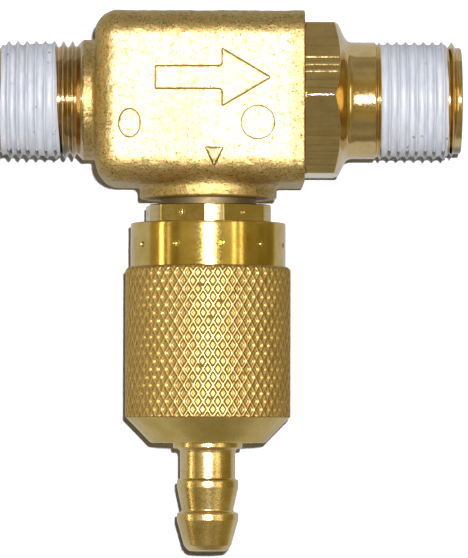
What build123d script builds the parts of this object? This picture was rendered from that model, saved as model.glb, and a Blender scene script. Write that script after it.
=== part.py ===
from build123d import *
import os

os.makedirs("parts", exist_ok=True)

# ---------------------------------------------------------------------------
# Brass chemical injector: a tee-shaped venturi body with two 3/8 in pipe
# threads in line (water flows along +X) and, hanging below it, a metering
# valve with a knurled knob and a barbed hose tail for the suction hose.
# Millimetres.  Origin: centre of the inlet end.  +X flow, +Z up, -Y front.
# ---------------------------------------------------------------------------

# driving dimensions ---------------------------------------------------------
kx = 30.4            # X of the metering axis
thread_r = 8.5       # crest radius of both pipe threads
tape_under_r = 8.3   # metal radius under the thread tape
water_bore_r = 5.0   # waterway at both ends

# cast body
body_x0 = 14.0
body_x1 = 44.3
body_half_y = 12.0
body_half_z = 12.5
body_edge_r = 4.0
body_end_r = 3.2
neck_r = 8.8
boss_r = 10.0
boss_z = -14.5
chamber_r = 6.0
chamber_x0 = 19.4
outlet_socket_x = 36.4
outlet_socket_r = 8.5
stem_socket_r = 7.0
stem_socket_z = -9.4
port_r = 2.0

# outlet nipple
hex_af = 22.0
nipple_end_x = 67.2
nipple_thread_x = 55.3
nipple_pilot_x = 37.4

# valve stem
stem_top_z = -9.7
barrel_top_z = -15.4
barrel_bottom_z = -24.3
barrel_r = 9.5
screw_r = 7.95
stem_bottom_z = -38.0
seat_r = 1.6
seat_z = -23.0
plunger_bore_r = 4.6
skirt_top_z = -34.0
key_half = 4.7

# check ball
ball_r = 2.38
ball_z = -17.37

# metering knob
collar_top_z = -18.0
knurl_top_z = -24.4
knurl_bottom_z = -46.2
knob_bottom_z = -50.0
collar_r = 11.3
knurl_r = 12.05
knob_floor_z = -46.8
knob_bore_r = 9.6
ledge_top_z = -26.1
ledge_bottom_z = -33.0
collar_marks = 11
collar_mark_z = -21.3
barrel_flats = 17.7      # across the six spanner flats
barrel_flats_turn = 5.15
barrel_flats_z = -18.4
barrel_mark_z = -16.7

# hose tail
tail_end_z = -65.75
tail_bore_r = 1.9
tail_body_r = 5.05
land_r = 4.5


# ---------------------------------------------------------------------------
# 1  cast and machined body
# ---------------------------------------------------------------------------
with BuildPart() as injector_body:
    with BuildSketch(Plane.YZ.offset(body_x0)):
        Rectangle(2 * body_half_y, 2 * body_half_z)
    extrude(amount=body_x1 - body_x0)
    fillet(injector_body.edges().filter_by(Axis.X), radius=body_edge_r)
    fillet(injector_body.faces().sort_by(Axis.X)[0].edges(), radius=body_end_r)
    # round boss for the metering valve, chamfered at its machined rim
    with BuildSketch(Plane.XZ):
        with BuildLine():
            Polyline(
                (kx, 0), (kx + boss_r, 0), (kx + boss_r, boss_z + 0.4),
                (kx + boss_r - 0.4, boss_z), (kx, boss_z), close=True)
        make_face()
    revolve(axis=Axis((kx, 0, 0), (0, 0, 1)))
    # threaded spigot and flared neck of the inlet
    with BuildSketch(Plane.XZ):
        with BuildLine():
            Polyline((16.0, 0), (0, 0), (0, tape_under_r), (7.9, tape_under_r),
                     (7.9, thread_r), (11.3, thread_r), (11.45, 8.2), (11.75, 8.2),
                     (12.2, neck_r), (13.2, neck_r))
            ThreePointArc((13.2, neck_r), (13.83, neck_r + 0.22), (14.1, neck_r + 0.75))
            Polyline((14.1, neck_r + 0.75), (16.0, neck_r + 0.75), (16.0, 0))
        make_face()
    revolve(axis=Axis.X)
    # waterway, venturi chamber and outlet socket, all on the flow axis
    with BuildSketch(Plane.XZ):
        with BuildLine():
            Polyline((-1, 0), (-1, water_bore_r), (chamber_x0, water_bore_r),
                     (chamber_x0, chamber_r), (outlet_socket_x, chamber_r),
                     (outlet_socket_x, outlet_socket_r),
                     (body_x1 - 0.5, outlet_socket_r),
                     (body_x1 + 0.5, outlet_socket_r + 1.0),
                     (body_x1 + 0.5, 0), close=True)
        make_face()
    revolve(axis=Axis.X, mode=Mode.SUBTRACT)
    # socket for the valve stem and the suction port above it
    with BuildSketch(Plane.XZ):
        with BuildLine():
            Polyline((kx, -5.0), (kx + port_r, -5.0), (kx + port_r, stem_socket_z),
                     (kx + stem_socket_r, stem_socket_z),
                     (kx + stem_socket_r, boss_z - 1.0), (kx, boss_z - 1.0), close=True)
        make_face()
    revolve(axis=Axis((kx, 0, 0), (0, 0, 1)), mode=Mode.SUBTRACT)
injector_body.part.label = "injector_body"
export_step(injector_body.part, "parts/injector_body.step")

# ---------------------------------------------------------------------------
# 2  thread tape on the inlet
# ---------------------------------------------------------------------------
with BuildPart() as inlet_tape:
    with BuildSketch(Plane.YZ):
        Circle(thread_r)
        Circle(tape_under_r + 0.01, mode=Mode.SUBTRACT)
    extrude(amount=7.9)
inlet_tape.part.label = "inlet_tape"
export_step(inlet_tape.part, "parts/inlet_tape.step")

# ---------------------------------------------------------------------------
# 3  jet nozzle: converging cone, groove for its seal, conical nose
# ---------------------------------------------------------------------------
with BuildPart() as jet_nozzle:
    with BuildSketch(Plane.XZ):
        with BuildLine():
            Polyline((19.45, 4.4), (19.45, 5.95), (22.0, 5.95), (22.0, 4.95),
                     (23.4, 4.95), (23.4, 5.95), (28.75, 5.95), (28.75, 2.8),
                     (30.2, 1.6), (30.2, 1.1), (26.6, 1.1), close=True)
        make_face()
    revolve(axis=Axis.X)
jet_nozzle.part.label = "jet_nozzle"
export_step(jet_nozzle.part, "parts/jet_nozzle.step")

# ---------------------------------------------------------------------------
# 4  seal ring of the nozzle
# ---------------------------------------------------------------------------
with BuildPart() as nozzle_o_ring:
    with BuildSketch(Plane.XZ):
        with Locations((22.7, 5.46)):
            Circle(0.5)
    revolve(axis=Axis.X)
nozzle_o_ring.part.label = "nozzle_o_ring"
export_step(nozzle_o_ring.part, "parts/nozzle_o_ring.step")

# ---------------------------------------------------------------------------
# 5  diffuser: mixing chamber with four suction windows, throat, long flare
# ---------------------------------------------------------------------------
with BuildPart() as diffuser_insert:
    with BuildSketch(Plane.XZ):
        with BuildLine():
            Polyline((28.8, 4.2), (28.8, 5.95), (29.2, 5.95), (29.2, 5.3),
                     (31.7, 5.3), (31.7, 5.95), (36.4, 5.95), (36.4, 8.4),
                     (37.35, 8.4), (37.35, 4.6), (43.0, 4.6), (43.0, 3.9),
                     (35.4, 1.7), (33.4, 1.7), (31.7, 4.2), close=True)
        make_face()
    revolve(axis=Axis.X)
    with BuildSketch(Plane.XY.offset(-7)):
        with Locations((kx, 0)):
            Circle(1.05)
    extrude(amount=14, mode=Mode.SUBTRACT)
    with BuildSketch(Plane.XZ.offset(-7)):
        with Locations((kx, 0)):
            Circle(1.05)
    extrude(amount=14, mode=Mode.SUBTRACT)
diffuser_insert.part.label = "diffuser_insert"
export_step(diffuser_insert.part, "parts/diffuser_insert.step")

# ---------------------------------------------------------------------------
# 6  hexagon nipple screwed into the outlet: pilot, hexagon, neck, pipe thread
# ---------------------------------------------------------------------------
with BuildPart() as outlet_nipple:
    # hexagon with one corner to the front, its right end cut to a cone
    with BuildSketch(Plane.YZ.offset(body_x1)):
        RegularPolygon(radius=hex_af / 2, side_count=6, major_radius=False)
    extrude(amount=6.3)
    with BuildSketch(Plane.XZ):
        with BuildLine():
            Polyline((body_x1, 0), (body_x1, 12.35), (body_x1 + 0.35, 12.8),
                     (48.55, 12.8), (50.55, 8.5), (50.6, 0), close=True)
        make_face()
    revolve(axis=Axis.X, mode=Mode.INTERSECT)
    with BuildSketch(Plane.XZ):
        with BuildLine():
            Polyline((nipple_pilot_x, 0), (nipple_pilot_x, 7.9),
                     (nipple_pilot_x + 0.55, 8.45), (38.4, 8.45), (38.4, 7.35),
                     (39.8, 7.35), (39.8, 8.45), (body_x1 + 0.2, 8.45),
                     (body_x1 + 0.2, thread_r), (54.7, thread_r), (54.85, 8.2),
                     (55.15, 8.2), (nipple_thread_x, thread_r),
                     (55.45, thread_r), (55.45, tape_under_r), (65.15, tape_under_r),
                     (65.15, thread_r), (nipple_end_x - 1.1, thread_r),
                     (nipple_end_x - 0.75, 7.75), (nipple_end_x - 0.15, 7.75),
                     (nipple_end_x, 7.6), (nipple_end_x, 0), close=True)
        make_face()
    revolve(axis=Axis.X)
    with BuildSketch(Plane.YZ.offset(nipple_pilot_x - 1)):
        Circle(water_bore_r)
    extrude(amount=nipple_end_x - nipple_pilot_x + 2, mode=Mode.SUBTRACT)
outlet_nipple.part.label = "outlet_nipple"
export_step(outlet_nipple.part, "parts/outlet_nipple.step")

# ---------------------------------------------------------------------------
# 7  seal ring of the nipple
# ---------------------------------------------------------------------------
with BuildPart() as nipple_o_ring:
    with BuildSketch(Plane.XZ):
        with Locations((39.1, 7.92)):
            Circle(0.54)
    revolve(axis=Axis.X)
nipple_o_ring.part.label = "nipple_o_ring"
export_step(nipple_o_ring.part, "parts/nipple_o_ring.step")

# ---------------------------------------------------------------------------
# 8  thread tape on the outlet
# ---------------------------------------------------------------------------
with BuildPart() as outlet_tape:
    with BuildSketch(Plane.YZ.offset(55.45)):
        Circle(thread_r)
        Circle(tape_under_r + 0.01, mode=Mode.SUBTRACT)
    extrude(amount=9.7)
outlet_tape.part.label = "outlet_tape"
export_step(outlet_tape.part, "parts/outlet_tape.step")

# ---------------------------------------------------------------------------
# 9  valve stem: screwed spigot, marked barrel, knob thread, keyed skirt.
#    Inside, from the top: ball chamber, cone seat, needle seat, plunger bore.
# ---------------------------------------------------------------------------
stem_axis = Axis((kx, 0, 0), (0, 0, 1))
with BuildPart() as valve_stem:
    with BuildSketch(Plane.XZ):
        with BuildLine():
            Polyline(
                (kx, stem_top_z), (kx + 6.55, stem_top_z), (kx + 6.95, stem_top_z - 0.4),
                (kx + 6.95, -10.5), (kx + 5.9, -10.5), (kx + 5.9, -11.9),
                (kx + 6.95, -11.9), (kx + 6.95, barrel_top_z),
                (kx + barrel_r - 0.25, barrel_top_z), (kx + barrel_r, barrel_top_z - 0.25),
                (kx + barrel_r, -18.9), (kx + 8.4, -18.9), (kx + 8.4, -22.15),
                (kx + barrel_r, -22.15), (kx + barrel_r, -22.6), (kx + 8.4, -22.6),
                (kx + 8.4, -23.9), (kx + barrel_r, -23.9),
                (kx + barrel_r, barrel_bottom_z), (kx + screw_r, barrel_bottom_z),
                (kx + screw_r, stem_bottom_z + 0.5), (kx + screw_r - 0.5, stem_bottom_z),
                (kx, stem_bottom_z), close=True)
        make_face()
    revolve(axis=stem_axis)
    with BuildSketch(Plane.XZ):
        with BuildLine():
            Polyline(
                (kx, stem_top_z + 1), (kx + 3.0, stem_top_z + 1), (kx + 3.0, -17.8),
                (kx + seat_r, -19.2), (kx + seat_r, seat_z),
                (kx + plunger_bore_r, seat_z), (kx + plunger_bore_r, skirt_top_z),
                (kx, skirt_top_z), close=True)
        make_face()
    revolve(axis=stem_axis, mode=Mode.SUBTRACT)
    # keyed skirt: round bore with two flats that stop the hose tail turning
    with BuildSketch(Plane.XY.offset(stem_bottom_z - 1)):
        with Locations((kx, 0)):
            Circle(5.15)
            Rectangle(12, 2 * key_half, mode=Mode.INTERSECT)
    extrude(amount=skirt_top_z - stem_bottom_z + 1, mode=Mode.SUBTRACT)
    # six spanner flats on the barrel, with a small punched mark on each
    with BuildSketch(Plane.XY.offset(barrel_flats_z)):
        with Locations((kx, 0)):
            Circle(barrel_r + 2)
            RegularPolygon(radius=barrel_flats / 2, side_count=6, major_radius=False,
                           rotation=barrel_flats_turn - 30, mode=Mode.SUBTRACT)
    extrude(amount=barrel_top_z - barrel_flats_z, mode=Mode.SUBTRACT)
    with Locations((kx, 0, barrel_mark_z)):
        with PolarLocations(barrel_flats / 2 + 0.12, 6, start_angle=barrel_flats_turn):
            Sphere(0.4, mode=Mode.SUBTRACT)
valve_stem.part.label = "valve_stem"
export_step(valve_stem.part, "parts/valve_stem.step")

# ---------------------------------------------------------------------------
# 10  seal ring between stem and boss
# ---------------------------------------------------------------------------
with BuildPart() as stem_o_ring:
    with BuildSketch(Plane.XZ):
        with Locations((kx + 6.43, -11.2)):
            Circle(0.5)
    revolve(axis=stem_axis)
stem_o_ring.part.label = "stem_o_ring"
export_step(stem_o_ring.part, "parts/stem_o_ring.step")

# ---------------------------------------------------------------------------
# 11  dust seal between barrel and knob
# ---------------------------------------------------------------------------
with BuildPart() as dust_o_ring:
    with BuildSketch(Plane.XZ):
        with Locations((kx + 8.98, -23.25)):
            Circle(0.55)
    revolve(axis=stem_axis)
dust_o_ring.part.label = "dust_o_ring"
export_step(dust_o_ring.part, "parts/dust_o_ring.step")

# ---------------------------------------------------------------------------
# 12  check ball
# ---------------------------------------------------------------------------
with BuildPart() as check_ball:
    with Locations((kx, 0, ball_z)):
        Sphere(ball_r)
check_ball.part.label = "check_ball"
export_step(check_ball.part, "parts/check_ball.step")

# ---------------------------------------------------------------------------
# 13  check spring, a helix above the ball
# ---------------------------------------------------------------------------
with BuildPart() as check_spring:
    with BuildLine() as check_path:
        Helix(pitch=0.9, height=4.3, radius=1.75, center=(kx, 0, -15.3))
    with BuildSketch(Plane(origin=check_path.line @ 0, z_dir=check_path.line % 0)):
        Circle(0.2)
    sweep()
check_spring.part.label = "check_spring"
export_step(check_spring.part, "parts/check_spring.step")

# ---------------------------------------------------------------------------
# 14  spring retainer, a pierced plug in the top of the stem
# ---------------------------------------------------------------------------
with BuildPart() as spring_retainer:
    with BuildSketch(Plane.XY.offset(-10.75)):
        with Locations((kx, 0)):
            Circle(2.98)
            Circle(1.2, mode=Mode.SUBTRACT)
    extrude(amount=1.0)
    chamfer(spring_retainer.faces().sort_by(Axis.Z)[-1].edges(), length=0.15)
spring_retainer.part.label = "spring_retainer"
export_step(spring_retainer.part, "parts/spring_retainer.step")

# ---------------------------------------------------------------------------
# 15  metering needle, screwed into the top of the hose tail
# ---------------------------------------------------------------------------
with BuildPart() as metering_needle:
    with BuildSketch(Plane.XZ):
        with BuildLine():
            Polyline(
                (kx, -27.5), (kx + 1.17, -27.5), (kx + 1.17, -26.0), (kx + 2.4, -26.0),
                (kx + 2.4, -25.35), (kx + 2.25, -25.2), (kx + 1.55, -25.2),
                (kx + 1.55, -24.5), (kx + 0.45, -22.15), (kx + 0.25, -22.0),
                (kx, -22.0), close=True)
        make_face()
    revolve(axis=stem_axis)
metering_needle.part.label = "metering_needle"
export_step(metering_needle.part, "parts/metering_needle.step")

# ---------------------------------------------------------------------------
# 16  hose tail: plunger with two seal grooves, keyed body, shoulder, barbs
# ---------------------------------------------------------------------------
with BuildPart() as hose_tail:
    with BuildSketch(Plane.XZ):
        with BuildLine():
            Polyline(
                (kx, -26.0), (kx + 3.2, -26.0), (kx + 3.4, -26.2), (kx + 3.4, -29.4),
                (kx + 4.3, -29.4), (kx + land_r, -29.6), (kx + land_r, -30.2),
                (kx + 3.5, -30.2), (kx + 3.5, -31.4), (kx + land_r, -31.4),
                (kx + land_r, -32.0), (kx + 3.5, -32.0), (kx + 3.5, -33.2),
                (kx + land_r, -33.2), (kx + land_r, -35.8), (kx + tail_body_r, -35.8),
                (kx + tail_body_r, -44.5), (kx + 7.2, -44.5), (kx + 7.2, -46.1),
                (kx + tail_body_r, -46.1), (kx + tail_body_r, -50.55))
            RadiusArc((kx + tail_body_r, -50.55), (kx + tail_body_r - 0.25, -50.8), 0.25)
            Polyline((kx + tail_body_r - 0.25, -50.8), (kx + 4.45, -50.8),
                     (kx + 4.1, -51.0), (kx + 4.03, -51.4),
                     (kx + 4.03, -55.25), (kx + 4.4, -55.35), (kx + 4.48, -55.6),
                     (kx + 4.48, -56.4), (kx + 3.72, -59.9), (kx + 4.4, -60.2),
                     (kx + 4.48, -60.4), (kx + 4.48, -61.2),
                     (kx + 3.45, -64.9), (kx + 2.9, -65.55), (kx + 2.5, tail_end_z),
                     (kx, tail_end_z), (kx, -26.0))
        make_face()
    revolve(axis=stem_axis)
    # suction bore, needle socket and cross drilling below the needle
    with BuildSketch(Plane.XZ):
        with BuildLine():
            Polyline(
                (kx, -25.0), (kx + 1.2, -25.0), (kx + 1.2, -27.6),
                (kx + tail_bore_r, -28.0), (kx + tail_bore_r, tail_end_z + 0.5),
                (kx + 2.2, tail_end_z - 0.5), (kx, tail_end_z - 0.5), close=True)
        make_face()
    revolve(axis=stem_axis, mode=Mode.SUBTRACT)
    with BuildSketch(Plane.XZ.offset(-6)):
        with Locations((kx, -28.5)):
            Circle(0.85)
    extrude(amount=12, mode=Mode.SUBTRACT)
    # two flats that slide in the skirt of the stem
    with BuildSketch(Plane.XY.offset(-41.5)):
        with Locations((kx, 4.6 + 2)):
            Rectangle(14, 4)
        with Locations((kx, -4.6 - 2)):
            Rectangle(14, 4)
    extrude(amount=5.7, mode=Mode.SUBTRACT)
hose_tail.part.label = "hose_tail"
export_step(hose_tail.part, "parts/hose_tail.step")

# ---------------------------------------------------------------------------
# 17, 18  seal rings of the plunger
# ---------------------------------------------------------------------------
with BuildPart() as tail_o_ring_upper:
    with BuildSketch(Plane.XZ):
        with Locations((kx + 4.05, -30.8)):
            Circle(0.52)
    revolve(axis=stem_axis)
tail_o_ring_upper.part.label = "tail_o_ring_upper"
export_step(tail_o_ring_upper.part, "parts/tail_o_ring_upper.step")

with BuildPart() as tail_o_ring_lower:
    with BuildSketch(Plane.XZ):
        with Locations((kx + 4.05, -32.6)):
            Circle(0.52)
    revolve(axis=stem_axis)
tail_o_ring_lower.part.label = "tail_o_ring_lower"
export_step(tail_o_ring_lower.part, "parts/tail_o_ring_lower.step")

# ---------------------------------------------------------------------------
# 19  thrust spring between the skirt of the stem and the tail's shoulder
# ---------------------------------------------------------------------------
with BuildPart() as thrust_spring:
    with BuildLine() as thrust_path:
        Helix(pitch=1.7, height=5.3, radius=6.5, center=(kx, 0, -43.9))
    with BuildSketch(Plane(origin=thrust_path.line @ 0, z_dir=thrust_path.line % 0)):
        Circle(0.45)
    sweep()
thrust_spring.part.label = "thrust_spring"
export_step(thrust_spring.part, "parts/thrust_spring.step")

# ---------------------------------------------------------------------------
# 20  thrust washer under the tail's shoulder
# ---------------------------------------------------------------------------
with BuildPart() as thrust_washer:
    with BuildSketch(Plane.XY.offset(knob_floor_z)):
        with Locations((kx, 0)):
            Circle(8.6)
            Circle(5.25, mode=Mode.SUBTRACT)
    extrude(amount=0.6)
thrust_washer.part.label = "thrust_washer"
export_step(thrust_washer.part, "parts/thrust_washer.step")

# ---------------------------------------------------------------------------
# 21  knob: marked collar, knurled grip, chamfered foot; threaded ledge inside
# ---------------------------------------------------------------------------
with BuildPart() as metering_knob:
    with BuildSketch(Plane.XZ):
        with BuildLine():
            Polyline(
                (kx + knob_bore_r, collar_top_z), (kx + collar_r - 0.15, collar_top_z),
                (kx + collar_r, collar_top_z - 0.15), (kx + collar_r, knurl_top_z),
                (kx + knurl_r - 0.35, knurl_top_z), (kx + knurl_r, knurl_top_z - 0.35),
                (kx + knurl_r, knurl_bottom_z),
                (kx + 8.4, knob_bottom_z + 0.05), (kx + 8.3, knob_bottom_z),
                (kx + 5.15, knob_bottom_z), (kx + 5.15, knob_floor_z),
                (kx + knob_bore_r, knob_floor_z), (kx + knob_bore_r, ledge_bottom_z),
                (kx + 8.3, ledge_bottom_z), (kx + 8.0, ledge_bottom_z + 0.3),
                (kx + 8.0, ledge_top_z - 0.3), (kx + 8.3, ledge_top_z),
                (kx + knob_bore_r, ledge_top_z), (kx + knob_bore_r, -21.42),
                (kx + 10.15, -21.42), (kx + 10.15, -20.38), (kx + knob_bore_r, -20.38),
                close=True)
        make_face()
    revolve(axis=stem_axis)
    # index dimples drilled round the collar
    with Locations((kx, 0, collar_mark_z)):
        with PolarLocations(collar_r + 0.08, collar_marks, start_angle=-81.2):
            Sphere(0.4, mode=Mode.SUBTRACT)
metering_knob.part.label = "metering_knob"
export_step(metering_knob.part, "parts/metering_knob.step")

# ---------------------------------------------------------------------------
# 22  split wire ring that holds the knob on the barrel and limits its travel
# ---------------------------------------------------------------------------
with BuildPart() as snap_ring:
    with BuildSketch(Plane.XZ):
        with Locations((kx + 9.62, -20.9)):
            Circle(0.45)
    revolve(axis=stem_axis, revolution_arc=338)
snap_ring.part.label = "snap_ring"
export_step(snap_ring.part, "parts/snap_ring.step")
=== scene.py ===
import math
import bpy
import numpy as np
from mathutils import Matrix, Vector


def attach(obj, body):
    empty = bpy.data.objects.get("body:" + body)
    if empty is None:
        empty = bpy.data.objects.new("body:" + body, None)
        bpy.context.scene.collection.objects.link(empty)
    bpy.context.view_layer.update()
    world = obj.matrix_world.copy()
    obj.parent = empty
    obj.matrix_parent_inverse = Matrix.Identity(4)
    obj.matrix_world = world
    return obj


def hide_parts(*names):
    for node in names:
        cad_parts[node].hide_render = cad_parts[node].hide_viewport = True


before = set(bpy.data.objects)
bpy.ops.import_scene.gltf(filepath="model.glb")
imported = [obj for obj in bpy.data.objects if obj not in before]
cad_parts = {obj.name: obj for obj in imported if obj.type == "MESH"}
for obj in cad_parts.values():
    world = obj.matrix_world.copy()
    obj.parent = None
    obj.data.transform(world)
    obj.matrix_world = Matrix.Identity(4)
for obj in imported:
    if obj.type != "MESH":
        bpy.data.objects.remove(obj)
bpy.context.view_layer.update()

# ---------------------------------------------------------------------------
# Shared dimensions, in millimetres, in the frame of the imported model
# ---------------------------------------------------------------------------
KX = 30.4                 # X of the metering axis
HALF_Y, HALF_Z = 12.0, 12.5
EDGE_R = 4.0
X0, X1 = 14.0, 44.3       # block of the casting
BOSS_R, BOSS_Z = 10.0, -14.5
NECK_R = 8.79
CREST_R = 8.56            # thread crests
ROOT_DROP = 0.84
LEFT_CREST, LEFT_PITCH = 2.60, 1.327
RIGHT_CREST, RIGHT_PITCH = 55.16, 1.308
TAU = 2 * math.pi
rng = np.random.default_rng(20411)


# ---------------------------------------------------------------------------
# Small numeric helpers
# ---------------------------------------------------------------------------
def smooth(a, b, x):
    t = np.clip((x - a) / (b - a), 0.0, 1.0)
    return t * t * (3 - 2 * t)


def value_noise(p, scale, seed):
    """Smooth random field over points p (n, 3) with features of one scale."""
    table = np.random.default_rng(seed).random(4096)
    q = p / scale + 517.0
    base = np.floor(q).astype(np.int64)
    f = q - base
    f = f * f * (3 - 2 * f)
    out = np.zeros(len(p))
    for dx in (0, 1):
        for dy in (0, 1):
            for dz in (0, 1):
                h = ((base[:, 0] + dx) * 73856093) ^ ((base[:, 1] + dy) * 19349663) ^ ((base[:, 2] + dz) * 83492791)
                w = (f[:, 0] if dx else 1 - f[:, 0]) * (f[:, 1] if dy else 1 - f[:, 1]) * (f[:, 2] if dz else 1 - f[:, 2])
                out += w * table[h & 4095]
    return out * 2 - 1


def fractal(p, scale, seed, octaves=3):
    total, amp = np.zeros(len(p)), 1.0
    for k in range(octaves):
        total += amp * value_noise(p, scale / 2 ** k, seed + 31 * k)
        amp *= 0.55
    return total


def grid_quads(m, n, wrap_rows=True):
    j = np.arange(m if wrap_rows else m - 1)[:, None]
    i = np.arange(n)[None, :]
    a = j * n + i
    b = j * n + (i + 1) % n
    c = ((j + 1) % m) * n + (i + 1) % n
    d = ((j + 1) % m) * n + i
    return np.stack([a, b, c, d], -1).reshape(-1, 4)


def signed_volume(co, tris):
    a, b, c = co[tris[:, 0]], co[tris[:, 1]], co[tris[:, 2]]
    return float(np.einsum("ij,ij->i", a, np.cross(b, c)).sum() / 6)


def build(name, co, quads, material, body, replaces=(), tris=None, sharp=None):
    """Makes a closed mesh from vertices in mm, turned so that its faces look outward."""
    co = np.asarray(co, float)
    quads = np.asarray(quads, np.int64).reshape(-1, 4)
    tris = np.zeros((0, 3), np.int64) if tris is None else np.asarray(tris, np.int64).reshape(-1, 3)
    every = np.concatenate([quads[:, [0, 1, 2]], quads[:, [0, 2, 3]], tris])
    centre = co.mean(0)
    if signed_volume(co - centre, every) < 0:
        quads = quads[:, ::-1]
        tris = tris[:, ::-1]
    me = bpy.data.meshes.new(name)
    me.vertices.add(len(co))
    me.vertices.foreach_set("co", (co * 0.001).astype(np.float32).ravel())
    loops = np.concatenate([quads.ravel(), tris.ravel()]).astype(np.int32)
    me.loops.add(len(loops))
    me.loops.foreach_set("vertex_index", loops)
    nq, nt = len(quads), len(tris)
    starts = np.concatenate([np.arange(nq) * 4, nq * 4 + np.arange(nt) * 3]).astype(np.int32)
    me.polygons.add(nq + nt)
    me.polygons.foreach_set("loop_start", starts)
    me.polygons.foreach_set("use_smooth", np.ones(nq + nt, bool))
    me.update(calc_edges=True)
    me.validate()
    if sharp is not None:
        me.set_sharp_from_angle(angle=math.radians(sharp))
    me.materials.append(material)
    obj = bpy.data.objects.new(name, me)
    bpy.context.scene.collection.objects.link(obj)
    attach(obj, body)
    if replaces:
        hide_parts(*replaces)
    return obj


def soften(points, radius=0.1, steps=3, support=0.1):
    """Rounds the corners of a closed outline of (r, s) or (r, s, radius) points and adds a support point beside each arc."""
    pts = [(p[0], p[1], p[2] if len(p) > 2 else radius) for p in points]
    n = len(pts)
    out = []
    for k in range(n):
        p = np.array(pts[k][:2], float)
        a = np.array(pts[k - 1][:2], float)
        b = np.array(pts[(k + 1) % n][:2], float)
        la, lb = np.linalg.norm(a - p), np.linalg.norm(b - p)
        ua, ub = (a - p) / la, (b - p) / lb
        turn = math.pi - math.acos(float(np.clip(ua @ ub, -1, 1)))
        rad = pts[k][2]
        if turn < math.radians(9) or rad <= 0:
            out.append(p)
            continue
        t = min(rad * math.tan(turn / 2), 0.42 * la, 0.42 * lb)
        rad = t / math.tan(turn / 2)
        bis = (ua + ub) / np.linalg.norm(ua + ub)
        centre = p + bis * (rad / math.cos(turn / 2))
        start, end = p + ua * t, p + ub * t
        if la - 2 * t > 3 * support:
            out.append(p + ua * (t + support))
        v0, v1 = start - centre, end - centre
        ang = math.acos(float(np.clip(v0 @ v1 / (rad * rad), -1, 1)))
        m = max(2, int(round(steps * turn / (math.pi / 2))) + 1)
        for i in range(m + 1):
            f = i / m
            w0 = math.sin((1 - f) * ang) / math.sin(ang)
            w1 = math.sin(f * ang) / math.sin(ang)
            out.append(centre + v0 * w0 + v1 * w1)
        if lb - 2 * t > 3 * support:
            out.append(p + ub * (t + support))
    return np.array(out)


def around_x(r, x, phi):
    """Front (-Y) is phi 0 and top (+Z) is phi 90 degrees."""
    return np.stack([x + 0 * phi, -r * np.cos(phi), r * np.sin(phi)], -1)


def around_z(r, z, phi):
    """Front (-Y) is phi 0 and the outlet side (+X) is phi 90 degrees."""
    return np.stack([KX + r * np.sin(phi), -r * np.cos(phi), z + 0 * phi], -1)


def lathe(name, outline, axis, n, material, body, replaces=(), radius=0.1, tweak=None, sharp=None):
    prof = soften(outline, radius)
    phi = np.arange(n) * TAU / n
    r, s = prof[:, 0][:, None], prof[:, 1][:, None]
    co = (around_x if axis == "x" else around_z)(r + 0 * phi, s + 0 * phi, phi + 0 * r)
    if tweak is not None:
        co = tweak(co)
    return build(name, co.reshape(-1, 3), grid_quads(len(prof), n), material, body, replaces, sharp=sharp)


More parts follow.
